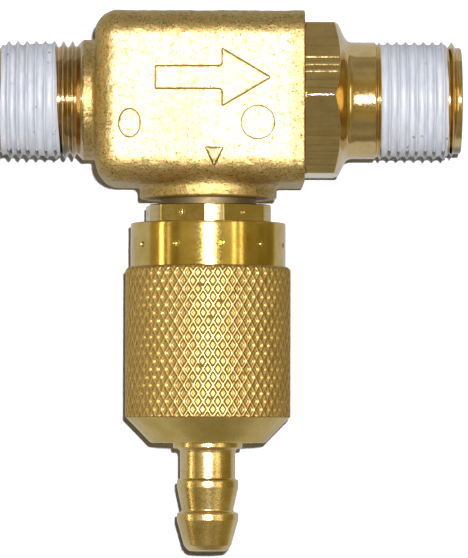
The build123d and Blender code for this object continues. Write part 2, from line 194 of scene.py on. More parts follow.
# ---------------------------------------------------------------------------
# Materials: every one is a small node network
# ---------------------------------------------------------------------------
class Net:
    def __init__(self, name):
        self.mat = bpy.data.materials.new(name)
        self.mat.use_nodes = True
        self.t = self.mat.node_tree
        self.t.nodes.clear()
        self.out = self.t.nodes.new("ShaderNodeOutputMaterial")
        self.bsdf = self.t.nodes.new("ShaderNodeBsdfPrincipled")
        self.link(self.bsdf.outputs[0], self.out.inputs["Surface"])
        self.coord = self.t.nodes.new("ShaderNodeTexCoord").outputs["Object"]

    def link(self, a, b):
        self.t.links.new(a, b)

    def put(self, socket, value):
        if isinstance(value, (int, float)):
            socket.default_value = value
        elif isinstance(value, tuple):
            socket.default_value = value if len(value) == len(socket.default_value) else (*value, 1.0)
        else:
            self.link(value, socket)

    def math(self, op, a, b=None, c=None, clamp=False):
        n = self.t.nodes.new("ShaderNodeMath")
        n.operation = op
        n.use_clamp = clamp
        for s, v in zip(n.inputs, (a, b, c)):
            if v is not None:
                self.put(s, v)
        return n.outputs[0]

    def noise(self, scale, detail=4.0, rough=0.55, vector=None, distortion=0.0, lacunarity=2.0):
        n = self.t.nodes.new("ShaderNodeTexNoise")
        n.inputs["Scale"].default_value = scale
        n.inputs["Detail"].default_value = detail
        n.inputs["Roughness"].default_value = rough
        n.inputs["Lacunarity"].default_value = lacunarity
        n.inputs["Distortion"].default_value = distortion
        self.link(vector if vector is not None else self.coord, n.inputs["Vector"])
        return n.outputs["Fac"]

    def voronoi(self, scale, feature="F1", vector=None, randomness=1.0):
        n = self.t.nodes.new("ShaderNodeTexVoronoi")
        n.feature = feature
        n.inputs["Scale"].default_value = scale
        n.inputs["Randomness"].default_value = randomness
        self.link(vector if vector is not None else self.coord, n.inputs["Vector"])
        return n.outputs["Distance"]

    def ramp(self, fac, stops):
        n = self.t.nodes.new("ShaderNodeValToRGB")
        n.color_ramp.elements[0].position = stops[0][0]
        n.color_ramp.elements[0].color = (*stops[0][1], 1)
        n.color_ramp.elements[1].position = stops[-1][0]
        n.color_ramp.elements[1].color = (*stops[-1][1], 1)
        for pos, col in stops[1:-1]:
            e = n.color_ramp.elements.new(pos)
            e.color = (*col, 1)
        self.put(n.inputs[0], fac)
        return n.outputs[0]

    def remap(self, v, a, b, lo, hi):
        n = self.t.nodes.new("ShaderNodeMapRange")
        n.interpolation_type = "SMOOTHSTEP"
        self.put(n.inputs["Value"], v)
        for key, val in (("From Min", a), ("From Max", b), ("To Min", lo), ("To Max", hi)):
            n.inputs[key].default_value = val
        return n.outputs[0]

    def mix(self, fac, a, b, mode="MIX"):
        n = self.t.nodes.new("ShaderNodeMix")
        n.data_type = "RGBA"
        n.blend_type = mode
        self.put(n.inputs[0], fac)
        self.put(n.inputs[6], a)
        self.put(n.inputs[7], b)
        return n.outputs[2]

    def combine(self, x, y, z):
        n = self.t.nodes.new("ShaderNodeCombineXYZ")
        for s, v in zip(n.inputs, (x, y, z)):
            self.put(s, v)
        return n.outputs[0]

    def split(self, v=None):
        n = self.t.nodes.new("ShaderNodeSeparateXYZ")
        self.link(v if v is not None else self.coord, n.inputs[0])
        return n.outputs[0], n.outputs[1], n.outputs[2]

    def bump(self, height, strength, distance, normal=None):
        n = self.t.nodes.new("ShaderNodeBump")
        n.inputs["Strength"].default_value = strength
        n.inputs["Distance"].default_value = distance
        self.put(n.inputs["Height"], height)
        if normal is not None:
            self.link(normal, n.inputs["Normal"])
        return n.outputs[0]

    def set(self, **kw):
        names = {"color": "Base Color", "metal": "Metallic", "rough": "Roughness", "normal": "Normal", "ior": "IOR",
                 "aniso": "Anisotropic", "aniso_rot": "Anisotropic Rotation", "tangent": "Tangent", "spec": "Specular IOR Level",
                 "sub": "Subsurface Weight", "sub_scale": "Subsurface Scale", "sheen": "Sheen Weight", "coat": "Coat Weight"}
        for k, v in kw.items():
            self.put(self.bsdf.inputs[names[k]], v)
        return self.mat


def painted_thread_underside_shade(n, color):
    """Painted shade: darkens the crests that stand out of the split tape along the underside of both threads, standing
    in for the shaded sheet they reflect.
    """
    x, y, z = n.split()
    along = n.math("ADD", n.math("LESS_THAN", x, 0.0102), n.math("GREATER_THAN", x, 0.0553))
    down = n.remap(z, -0.0066, -0.0075, 0.0, 0.88)
    return n.mix(n.math("MULTIPLY", along, down), color, (0.15, 0.135, 0.07))


def lathe_vector(net, axis, kr=1.0, ks=1.0, kphi=0.02):
    """Coordinates in which the marks of turning run round the axis: radius, length along the axis, and a little of the angle."""
    x, y, z = net.split()
    if axis == "z":
        a, b, s = net.math("SUBTRACT", x, KX * 0.001), y, z
    else:
        a, b, s = y, z, x
    r = net.math("SQRT", net.math("ADD", net.math("MULTIPLY", a, a), net.math("MULTIPLY", b, b)))
    ang = net.math("ARCTAN2", a, b)
    return net.combine(net.math("MULTIPLY", r, kr), net.math("MULTIPLY", s, ks), net.math("MULTIPLY", ang, 0.001 * kphi))


def cast_brass():
    n = Net("cast_brass_surface")
    broad = n.noise(120, 5, 0.6)
    grain = n.noise(3700, 4, 0.75)
    coarse = n.noise(1250, 4, 0.65)
    lumps = n.noise(420, 3, 0.5)
    pits = n.voronoi(1150)
    pit = n.remap(pits, 0.06, 0.30, 0.0, 1.0)
    few = n.remap(n.noise(360, 3, 0.6), 0.50, 0.64, 0.0, 1.0)
    pit = n.math("SUBTRACT", 1.0, n.math("MULTIPLY", n.math("SUBTRACT", 1.0, pit), few))
    tone = n.ramp(broad, [(0.30, (0.62, 0.46, 0.20)), (0.5, (0.71, 0.55, 0.27)), (0.72, (0.79, 0.64, 0.36))])
    x, y, z = n.split()
    # painted shade: the rounded edges of the block are darkened by position, where they turn away from the light
    bx = n.math("ABSOLUTE", n.math("SUBTRACT", n.math("MULTIPLY", x, 66.0), 1.93))
    bz = n.math("ABSOLUTE", n.math("MULTIPLY", z, 96.0))
    rim = n.math("MAXIMUM", bx, bz)
    tone = n.mix(n.remap(rim, 0.80, 0.92, 0.0, 0.70), tone, (0.53, 0.37, 0.115))
    tone = n.mix(n.remap(coarse, 0.50, 0.68, 0.0, 0.60), tone, (0.30, 0.19, 0.065))
    # painted shade: dark grain specks, a few more near the rounded edges, and darker pit centres stand in for the shade
    # in the small pits of the cast surface
    speck = n.math("ADD", grain, n.remap(rim, 0.45, 1.0, 0.0, 0.03))
    tone = n.mix(n.remap(speck, 0.56, 0.66, 0.0, 0.90), tone, (0.095, 0.062, 0.027))
    tone = n.mix(n.remap(pit, 0.0, 0.8, 0.5, 0.0), tone, (0.20, 0.12, 0.05))
    rough = n.math("ADD", n.remap(coarse, 0.3, 0.7, 0.37, 0.48), n.math("MULTIPLY", n.math("SUBTRACT", 1.0, pit), 0.12))
    h = n.math("ADD", n.math("MULTIPLY", coarse, 0.8), n.math("MULTIPLY", grain, 0.60))
    h = n.math("ADD", h, n.math("MULTIPLY", lumps, 0.5))
    h = n.math("ADD", h, n.math("MULTIPLY", pit, 0.3))
    nrm = n.bump(h, 1.0, 0.00012)
    return n.set(color=tone, metal=1.0, rough=rough, normal=nrm)


def turned_brass(name, axis, dark=(0.60, 0.39, 0.10), light=(0.80, 0.57, 0.19), rough=(0.13, 0.24), marks=0.35, worn=0.0, spots=0.35, thread=False, gap=False):
    n = Net(name)
    v = lathe_vector(n, axis)
    fine = n.noise(14000, 2, 0.6, v)
    wide = n.noise(2600, 3, 0.6, v)
    cloud = n.noise(210, 5, 0.6)
    speck = n.noise(3400, 3, 0.65)
    col = n.mix(n.remap(cloud, 0.3, 0.7, 0.0, 1.0), dark, light)
    col = n.mix(n.remap(wide, 0.45, 0.75, 0.0, 0.25), col, (0.45, 0.28, 0.08))
    col = n.mix(n.remap(speck, 0.58, 0.72, 0.0, spots), col, (0.30, 0.19, 0.06))
    # painted shade on the crests along the underside of the threads
    col = painted_thread_underside_shade(n, col) if thread else col
    if gap:
        # painted shade: the groove under the boss is darkened where the boss shades it
        x, y, z = n.split()
        col = n.mix(n.remap(z, -0.01538, -0.01520, 0.0, 0.80), col, (0.13, 0.10, 0.055))
    r = n.math("ADD", n.remap(speck, 0.35, 0.7, rough[0], rough[1]), n.remap(cloud, 0.45, 0.75, 0.0, 0.06))
    if gap:
        r = n.math("ADD", r, n.remap(z, -0.01538, -0.01520, 0.0, 0.42))
    h = n.math("ADD", n.math("MULTIPLY", fine, 0.35), n.math("MULTIPLY", wide, 0.25))
    h = n.math("ADD", h, n.math("MULTIPLY", speck, 0.7 + worn))
    nrm = n.bump(h, marks, 0.000012)
    return n.set(color=col, metal=1.0, rough=r, normal=nrm)


def knob_brass():
    """Turned and knurled: the knurl has crushed, rougher sides that are darkened with painted shade; the collar and the
    cone are cut bright.
    """
    n = Net("knob_surface")
    x, y, z = n.split()
    v = lathe_vector(n, "z")
    fine = n.noise(14000, 2, 0.6, v)
    wide = n.noise(2600, 3, 0.6, v)
    cloud = n.noise(230, 5, 0.6)
    speck = n.noise(3300, 3, 0.65)
    on_knurl = n.math("MULTIPLY", n.math("LESS_THAN", z, -0.0244), n.math("GREATER_THAN", z, -0.0463))
    on_cone = n.math("LESS_THAN", z, -0.0463)
    col = n.mix(n.remap(cloud, 0.3, 0.7, 0.0, 1.0), (0.60, 0.42, 0.10), (0.75, 0.55, 0.19))
    col = n.mix(n.remap(speck, 0.58, 0.72, 0.0, 0.35), col, (0.34, 0.21, 0.07))
    dx = n.math("SUBTRACT", x, KX * 0.001)
    rad = n.math("SQRT", n.math("ADD", n.math("MULTIPLY", dx, dx), n.math("MULTIPLY", y, y)))
    sunk = n.math("MULTIPLY", on_knurl, n.remap(rad, 0.01203, 0.01192, 0.0, 1.0))
    deep = n.math("MULTIPLY", on_knurl, n.remap(rad, 0.01192, 0.01176, 0.0, 1.0))
    col = n.mix(n.math("MULTIPLY", on_knurl, 0.75), col, (0.72, 0.52, 0.23))
    # painted shade: the sunk walls of the knurl are darkened, less so towards the deepest part
    col = n.mix(n.math("MULTIPLY", sunk, 0.85), col, (0.31, 0.20, 0.035))
    col = n.mix(n.math("MULTIPLY", deep, 0.75), col, (0.54, 0.37, 0.14))
    worn = n.noise(760, 3, 0.6)
    col = n.mix(n.math("MULTIPLY", on_knurl, n.remap(worn, 0.45, 0.68, 0.0, 0.5)), col, (0.42, 0.29, 0.09))
    r = n.math("ADD", n.remap(speck, 0.35, 0.7, 0.12, 0.19), n.math("MULTIPLY", on_knurl, n.remap(worn, 0.3, 0.7, 0.24, 0.36)))
    r = n.math("ADD", r, n.math("MULTIPLY", sunk, 0.06))
    r = n.math("ADD", r, n.math("MULTIPLY", on_cone, 0.14))
    h = n.math("ADD", n.math("MULTIPLY", fine, 0.30), n.math("MULTIPLY", wide, 0.25))
    h = n.math("MULTIPLY", h, n.math("ADD", 1.0, n.math("MULTIPLY", on_cone, 2.0)))
    h = n.math("ADD", h, n.math("MULTIPLY", speck, n.math("ADD", 0.7, n.math("MULTIPLY", on_knurl, 2.2))))
    nrm = n.bump(h, 0.35, 0.000012)
    return n.set(color=col, metal=1.0, rough=r, normal=nrm)


def bar_brass():
    n = Net("bar_brass_surface")
    x, y, z = n.split()
    drawn = n.combine(n.math("MULTIPLY", x, 0.03), y, z)
    streak = n.noise(2300, 3, 0.7, drawn)
    v = lathe_vector(n, "x")
    turned = n.noise(9000, 2, 0.6, v)
    on_hex = n.math("MULTIPLY", n.math("GREATER_THAN", x, 0.0442), n.math("LESS_THAN", x, 0.0496))
    cloud = n.noise(190, 5, 0.6)
    speck = n.noise(3000, 3, 0.65)
    col = n.mix(n.remap(cloud, 0.3, 0.7, 0.0, 1.0), (0.66, 0.47, 0.19), (0.80, 0.60, 0.28))
    col = n.mix(n.math("MULTIPLY", n.remap(streak, 0.5, 0.7, 0.0, 0.45), on_hex), col, (0.36, 0.22, 0.07))
    col = n.mix(n.remap(speck, 0.58, 0.72, 0.0, 0.4), col, (0.28, 0.17, 0.06))
    # painted shade on the crests along the underside of the threads
    col = painted_thread_underside_shade(n, col)
    r = n.remap(speck, 0.3, 0.75, 0.075, 0.16)
    h = n.math("ADD", n.math("MULTIPLY", n.math("MULTIPLY", streak, on_hex), 1.2),
               n.math("MULTIPLY", n.math("MULTIPLY", turned, n.math("SUBTRACT", 1.0, on_hex)), 0.7))
    h = n.math("ADD", h, n.math("MULTIPLY", speck, 0.6))
    nrm = n.bump(h, 0.35, 0.000014)
    return n.set(color=col, metal=1.0, rough=r, normal=nrm)


def thread_tape():
    n = Net("thread_tape_surface")
    x, y, z = n.split()
    v = lathe_vector(n, "x", kphi=1.2)
    wrap = n.noise(1500, 3, 0.6, v)
    fibre = n.noise(5200, 2, 0.6, v)
    cloud = n.noise(420, 4, 0.6)
    dots = n.voronoi(620)
    sparse = n.remap(n.noise(260, 2, 0.5), 0.54, 0.62, 0.0, 1.0)
    dirt = n.math("MULTIPLY", n.remap(dots, 0.06, 0.20, 1.0, 0.0), sparse)
    col = n.mix(n.remap(wrap, 0.35, 0.68, 0.0, 1.0), (0.50, 0.515, 0.53), (0.635, 0.645, 0.63))
    col = n.mix(n.remap(cloud, 0.5, 0.75, 0.0, 0.35), col, (0.55, 0.565, 0.575))
    dust = n.remap(n.noise(5200, 2, 0.6), 0.68, 0.76, 0.0, 0.55)
    col = n.mix(dust, col, (0.26, 0.28, 0.34))
    col = n.mix(n.math("MULTIPLY", dirt, 0.9), col, (0.14, 0.16, 0.22))
    h = n.math("ADD", n.math("MULTIPLY", wrap, 0.8), n.math("MULTIPLY", fibre, 0.35))
    nrm = n.bump(h, 0.5, 0.00006)
    return n.set(color=col, metal=0.0, rough=n.remap(cloud, 0.3, 0.7, 0.35, 0.55), normal=nrm, sub=0.12, sub_scale=0.0006)


def seal_rubber():
    n = Net("seal_rubber_surface")
    grain = n.noise(4200, 4, 0.6)
    cloud = n.noise(500, 3, 0.5)
    col = n.mix(n.remap(cloud, 0.3, 0.7, 0.0, 1.0), (0.012, 0.012, 0.013), (0.030, 0.030, 0.032))
    return n.set(color=col, metal=0.0, rough=n.remap(grain, 0.3, 0.7, 0.42, 0.62), normal=n.bump(grain, 0.3, 0.00002))


def stainless():
    n = Net("stainless_surface")
    grain = n.noise(5200, 3, 0.6)
    cloud = n.noise(600, 3, 0.5)
    col = n.mix(n.remap(cloud, 0.3, 0.7, 0.0, 1.0), (0.50, 0.50, 0.52), (0.68, 0.68, 0.70))
    return n.set(color=col, metal=1.0, rough=n.remap(grain, 0.3, 0.7, 0.16, 0.32), normal=n.bump(grain, 0.25, 0.00001))


def washer_plastic():
    n = Net("washer_plastic_surface")
    grain = n.noise(3000, 4, 0.6)
    cloud = n.noise(420, 3, 0.5)
    col = n.mix(n.remap(cloud, 0.3, 0.7, 0.0, 1.0), (0.70, 0.67, 0.58), (0.82, 0.80, 0.72))
    return n.set(color=col, metal=0.0, rough=n.remap(grain, 0.3, 0.7, 0.38, 0.55), normal=n.bump(grain, 0.3, 0.00002))


MAT_CAST = cast_brass()
MAT_NECK = turned_brass("turned_thread_surface", "x", dark=(0.52, 0.40, 0.24), light=(0.74, 0.58, 0.36), rough=(0.08, 0.15), marks=0.4, thread=True)
MAT_BARREL = turned_brass("barrel_surface", "z", dark=(0.64, 0.49, 0.22), light=(0.78, 0.61, 0.31), rough=(0.14, 0.24), marks=0.6, worn=1.6, spots=0.5, gap=True)
MAT_KNOB = knob_brass()
MAT_TAIL = turned_brass("tail_surface", "z", dark=(0.68, 0.50, 0.20), light=(0.84, 0.66, 0.33), rough=(0.19, 0.29), marks=0.6, worn=0.8)
MAT_BAR = bar_brass()
MAT_TAPE = thread_tape()
MAT_RUBBER = seal_rubber()
MAT_STEEL = stainless()
MAT_PLASTIC = washer_plastic()


# ---------------------------------------------------------------------------
# Casting: a distance field with round edges and a filleted boss and neck
# ---------------------------------------------------------------------------
def meet(a, b, r):
    return np.minimum(np.maximum(a + r, b + r), 0) + np.hypot(np.maximum(a + r, 0), np.maximum(b + r, 0)) - r


def join(a, b, k):
    return np.maximum(k, np.minimum(a, b)) - np.hypot(np.maximum(k - a, 0), np.maximum(k - b, 0))


def casting_field(x, y, z):
    qy, qz = np.abs(y) - (HALF_Y - EDGE_R), np.abs(z) - (HALF_Z - EDGE_R)
    section = np.hypot(np.maximum(qy, 0), np.maximum(qz, 0)) + np.minimum(np.maximum(qy, qz), 0) - EDGE_R
    block = meet(meet(section, X0 - x, 3.25), x - X1, 0.28)
    radial = np.hypot(x - KX, y)
    boss = meet(np.maximum(radial - BOSS_R, z), BOSS_Z - z, 0.4)
    tube = np.hypot(y, z)
    neck = meet(np.maximum(tube - NECK_R, x - 20.0), 12.15 - x, 0.15)
    solid = join(join(block, boss, 0.9), neck, 0.55)
    way = np.maximum(tube - 5.0, x - 19.5)
    chamber = np.maximum(tube - 6.0, 19.4 - x)
    socket = np.maximum(tube - 8.5, 36.4 - x)
    stem = np.maximum(radial - 7.0, z + 9.4)
    port = np.maximum(np.maximum(radial - 2.0, z + 5.0), -9.6 - z)
    hollow = np.minimum(np.minimum(np.minimum(way, chamber), np.minimum(socket, stem)), port)
    return np.maximum(solid, -hollow)


def surface_net(field, xs, ys, zs):
    gx, gy, gz = np.meshgrid(xs, ys, zs, indexing="ij")
    f = field(gx, gy, gz)
    inside = f < 0
    shape = (len(xs) - 1, len(ys) - 1, len(zs) - 1)
    corners = [(a, b, c) for a in (0, 1) for b in (0, 1) for c in (0, 1)]
    total = np.zeros(shape, np.int8)
    for a, b, c in corners:
        total += inside[a:a + shape[0], b:b + shape[1], c:c + shape[2]]
    active = (total > 0) & (total < 8)
    idx = np.full(shape, -1, np.int64)
    cells = np.argwhere(active)
    idx[active] = np.arange(len(cells))
    i, j, k = cells.T
    acc, cnt = np.zeros((len(cells), 3)), np.zeros(len(cells))
    for a in corners:
        for axis in range(3):
            if a[axis]:
                continue
            b = list(a)
            b[axis] = 1
            fa, fb = f[i + a[0], j + a[1], k + a[2]], f[i + b[0], j + b[1], k + b[2]]
            cross = (fa < 0) != (fb < 0)
            t = np.where(cross, fa / np.where(cross, fa - fb, 1.0), 0.0)
            pa = np.stack([xs[i + a[0]], ys[j + a[1]], zs[k + a[2]]], -1)
            pb = np.stack([xs[i + b[0]], ys[j + b[1]], zs[k + b[2]]], -1)
            acc += (pa + (pb - pa) * t[:, None]) * cross[:, None]
            cnt += cross
    co = acc / cnt[:, None]
    quads = []
    for axis in range(3):
        u, v = (axis + 1) % 3, (axis + 2) % 3
        lo = [slice(None)] * 3
        hi = [slice(None)] * 3
        lo[axis], hi[axis] = slice(0, -1), slice(1, None)
        for o in (u, v):
            lo[o] = hi[o] = slice(1, -1)
        sa, sb = inside[tuple(lo)], inside[tuple(hi)]
        for sign in (True, False):
            at = np.argwhere((sa != sb) & (sa == sign))
            if not len(at):
                continue
            at[:, u] += 1
            at[:, v] += 1

            def cell(du, dv):
                c = at.copy()
                c[:, u] -= du
                c[:, v] -= dv
                return idx[c[:, 0], c[:, 1], c[:, 2]]
            q = np.stack([cell(1, 1), cell(0, 1), cell(0, 0), cell(1, 0)], -1)
            quads.append(q if sign else q[:, ::-1])
    return co, np.concatenate(quads)


def field_gradient(field, p, h=0.01):
    g = np.zeros_like(p)
    for a in range(3):
        d = np.zeros(3)
        d[a] = h
        lo, hi = p - d, p + d
        g[:, a] = (field(hi[:, 0], hi[:, 1], hi[:, 2]) - field(lo[:, 0], lo[:, 1], lo[:, 2])) / (2 * h)
    return g


def make_casting():
    step = 0.21
    xs = np.arange(11.9, 44.75, step)
    ys = np.arange(-12.3, 12.6, 0.45)
    zs = np.arange(-14.85, 12.85, step)
    co, quads = surface_net(casting_field, xs, ys, zs)
    for _ in range(4):
        g = field_gradient(casting_field, co)
        f = casting_field(co[:, 0], co[:, 1], co[:, 2])
        move = g * (f / np.maximum((g * g).sum(1), 0.25))[:, None]
        length = np.linalg.norm(move, axis=1)
        move *= np.minimum(1.0, 0.12 / np.maximum(length, 1e-9))[:, None]
        co = co - move
    g = field_gradient(casting_field, co, 0.05)
    nrm = g / np.maximum(np.linalg.norm(g, axis=1), 1e-9)[:, None]
    x, y, z = co.T
    tube = np.hypot(y, z)
    radial = np.hypot(x - KX, y)
    raw = smooth(12.3, 13.2, x) * smooth(X1 - 0.1, X1 - 0.5, x)
    raw *= np.where((tube < 8.6) & (x > 12) & (np.abs(z) < 8.7) & (np.abs(y) < 8.7), 0.0, 1.0)
    raw *= np.where((radial < 7.6) & (z < -9.0), 0.0, 1.0)
    raw *= 1 - 0.75 * smooth(-12.9, -13.6, z)
    swell = 0.05 * fractal(co, 3.4, 11, 2) + 0.032 * fractal(co, 0.95, 12, 2)
    pits = np.minimum(0.0, value_noise(co, 0.75, 77) + 0.52) * 0.16
    co = co + nrm * ((swell + pits - 0.04) * raw)[:, None]
    co[:, 2] = np.minimum(co[:, 2], 12.49)
    return build("casting", co, quads, MAT_CAST, "body", ("injector_body",))


def front_y(z):
    """Y of the plain front face of the casting at a height."""
    over = np.maximum(np.abs(z) - (HALF_Z - EDGE_R), 0.0)
    return -(HALF_Y - EDGE_R) - np.sqrt(np.maximum(EDGE_R ** 2 - over ** 2, 0.01))


def round_outline(points, radius, steps=6):
    out = []
    n = len(points)
    for k in range(n):
        p = np.array(points[k], float)
        a, b = np.array(points[k - 1], float), np.array(points[(k + 1) % n], float)
        la, lb = np.linalg.norm(a - p), np.linalg.norm(b - p)
        ua, ub = (a - p) / la, (b - p) / lb
        turn = math.pi - math.acos(float(np.clip(ua @ ub, -1, 1)))
        t = min(radius * math.tan(turn / 2), 0.4 * la, 0.4 * lb)
        for i in range(steps + 1):
            f = i / steps
            out.append((p + ua * t) * (1 - f) ** 2 + 2 * f * (1 - f) * p + (p + ub * t) * f ** 2)
    dense = []
    for k in range(len(out)):
        a, b = out[k], out[(k + 1) % len(out)]
        m = max(1, int(np.linalg.norm(b - a) / 0.25))
        for i in range(m):
            dense.append(a + (b - a) * i / m)
    return np.array(dense)


def relief(name, outline, centre, height, slope=0.12, seed=1):
    """A low raised pad on the front face, with sloped edges, that follows the face over its bottom edge."""
    n = len(outline)
    nxt, prv = np.roll(outline, -1, 0), np.roll(outline, 1, 0)
    tan = nxt - prv
    tan /= np.linalg.norm(tan, axis=1)[:, None]
    area = 0.5 * np.sum(outline[:, 0] * nxt[:, 1] - nxt[:, 0] * outline[:, 1])
    inward = np.stack([-tan[:, 1], tan[:, 0]], -1) * (1 if area > 0 else -1)
    rings = []
    for inset, lift in ((-0.03, -0.30), (0.0, 0.0), (slope * 0.55, height * 0.62), (slope, height * 0.93), (slope * 1.7, height)):
        rings.append((outline + inward * inset, lift))
    last = rings[-1][0]
    for f in (0.8, 0.6, 0.4, 0.2, 0.03):
        rings.append((np.array(centre) + (last - np.array(centre)) * f, height))
    co = []
    for pts, lift in rings:
        y = front_y(pts[:, 1]) - lift
        co.append(np.stack([pts[:, 0], y, pts[:, 1]], -1))
    co = np.concatenate(co)
    m = len(rings)
    top = m * n
    quads = grid_quads(m, n, wrap_rows=False)
    co = np.concatenate([co, [[centre[0], float(front_y(np.array(centre[1]))) - height, centre[1]],
                              [centre[0], float(front_y(np.array(centre[1]))) + 0.30, centre[1]]]])
    i = np.arange(n)
    tris = np.concatenate([np.stack([(m - 1) * n + i, (m - 1) * n + (i + 1) % n, np.full(n, top)], -1),
                           np.stack([(i + 1) % n, i, np.full(n, top + 1)], -1)])
    rough = np.zeros(len(co))
    rough[n * 3:top + 1] = 1.0
    co[:, 1] -= rough * 0.02 * fractal(co, 0.9, 40 + seed, 2)
    return build(name, co, quads, MAT_CAST, "body", (), tris)


def make_reliefs():
    # a plain raised arrow along the flow
    arrow = [(22.6, 4.3), (22.6, 0.7), (32.2, 0.7), (32.2, -1.9), (39.6, 2.5), (32.2, 6.9), (32.2, 4.3)]
    relief("casting_flow_arrow", round_outline(arrow, 0.35), (32.6, 2.5), 0.40, 0.24, 1)
    # index mark that points down at the barrel
    mark = [(29.75, -7.45), (32.75, -7.45), (31.25, -10.55)]
    relief("casting_index_mark", round_outline(mark, 0.3), (31.25, -8.4), 0.34, 0.26, 2)
    # two low pads left by the pins of the casting tool
    t = np.arange(44) * TAU / 44
    pad = np.stack([19.06 + 1.66 * np.cos(t), -4.1 + 2.16 * np.sin(t)], -1)
    relief("casting_pad_left", pad, (19.06, -4.1), 0.24, 0.19, 3)
    pad = np.stack([37.5 + 2.5 * np.cos(t), -3.95 + 2.5 * np.sin(t)], -1)
    relief("casting_pad_right", pad, (37.5, -3.95), 0.16, 0.18, 4)


# ---------------------------------------------------------------------------
# Pipe threads and the tape wound over them
# ---------------------------------------------------------------------------
def lead(phi):
    """Part of a pitch that the crest has advanced, from the top over the front to the bottom and round the back."""
    psi = (math.pi / 2 - phi) % TAU
    return (psi - 0.9 * (1 - np.cos(psi))) / TAU


def crest_distance(x, phi, first, pitch):
    u = (x - first) / pitch - lead(phi)
    return np.abs(u - np.round(u))


def thread_depth(d):
    """0 at the crest, 1 at the root."""
    return smooth(0.02, 0.46, d) * 0.35 + np.clip((d - 0.045) / 0.385, 0, 1) * 0.65


def make_inlet_end():
    n = 192
    phi = np.arange(n) * TAU / n
    xs = np.concatenate([np.linspace(0.0, 11.0, 190), np.linspace(11.06, 12.05, 14)])
    X = xs[:, None] + 0 * phi
    P = phi + 0 * xs[:, None]
    r = CREST_R - ROOT_DROP * thread_depth(crest_distance(X, P, LEFT_CREST, LEFT_PITCH))
    r = np.minimum(r, 7.55 + X * 0.9)
    fade = smooth(10.75, 11.25, X)
    r = r * (1 - fade) + (CREST_R - ROOT_DROP * 0.92) * fade
    r = np.maximum(r, np.where(X > 11.0, 7.72 + (X - 11.1) * 1.05, 0.0))
    r = np.minimum(r, NECK_R - 0.02)
    tail = [(NECK_R - 0.02, 12.35), (8.3, 12.55), (5.0, 12.55), (5.0, 9.0), (5.0, 4.0), (5.0, 0.7), (5.08, 0.35), (5.3, 0.1), (5.5, 0.0), (6.6, 0.0), (7.3, 0.0)]
    R = np.concatenate([r, np.array([[p[0]] for p in tail]) + 0 * phi])
    S = np.concatenate([X, np.array([[p[1]] for p in tail]) + 0 * phi])
    co = around_x(R, S, phi + 0 * R)
    return build("inlet_pipe_thread", co.reshape(-1, 3), grid_quads(len(R), n), MAT_NECK, "body")


def hex_radius(phi):
    af, rho = 11.0, 0.32
    d = np.abs((phi + math.pi / 6) % (math.pi / 3) - math.pi / 6)
    c = (af - rho) / math.cos(math.pi / 6)
    limit = math.atan2(rho * 0.5, c + rho * math.cos(math.pi / 6))
    flat = af / np.cos(math.pi / 6 - d)
    rounded = c * np.cos(d) + np.sqrt(np.maximum(rho ** 2 - (c * np.sin(d)) ** 2, 0))
    return np.where(d < limit, rounded, flat)


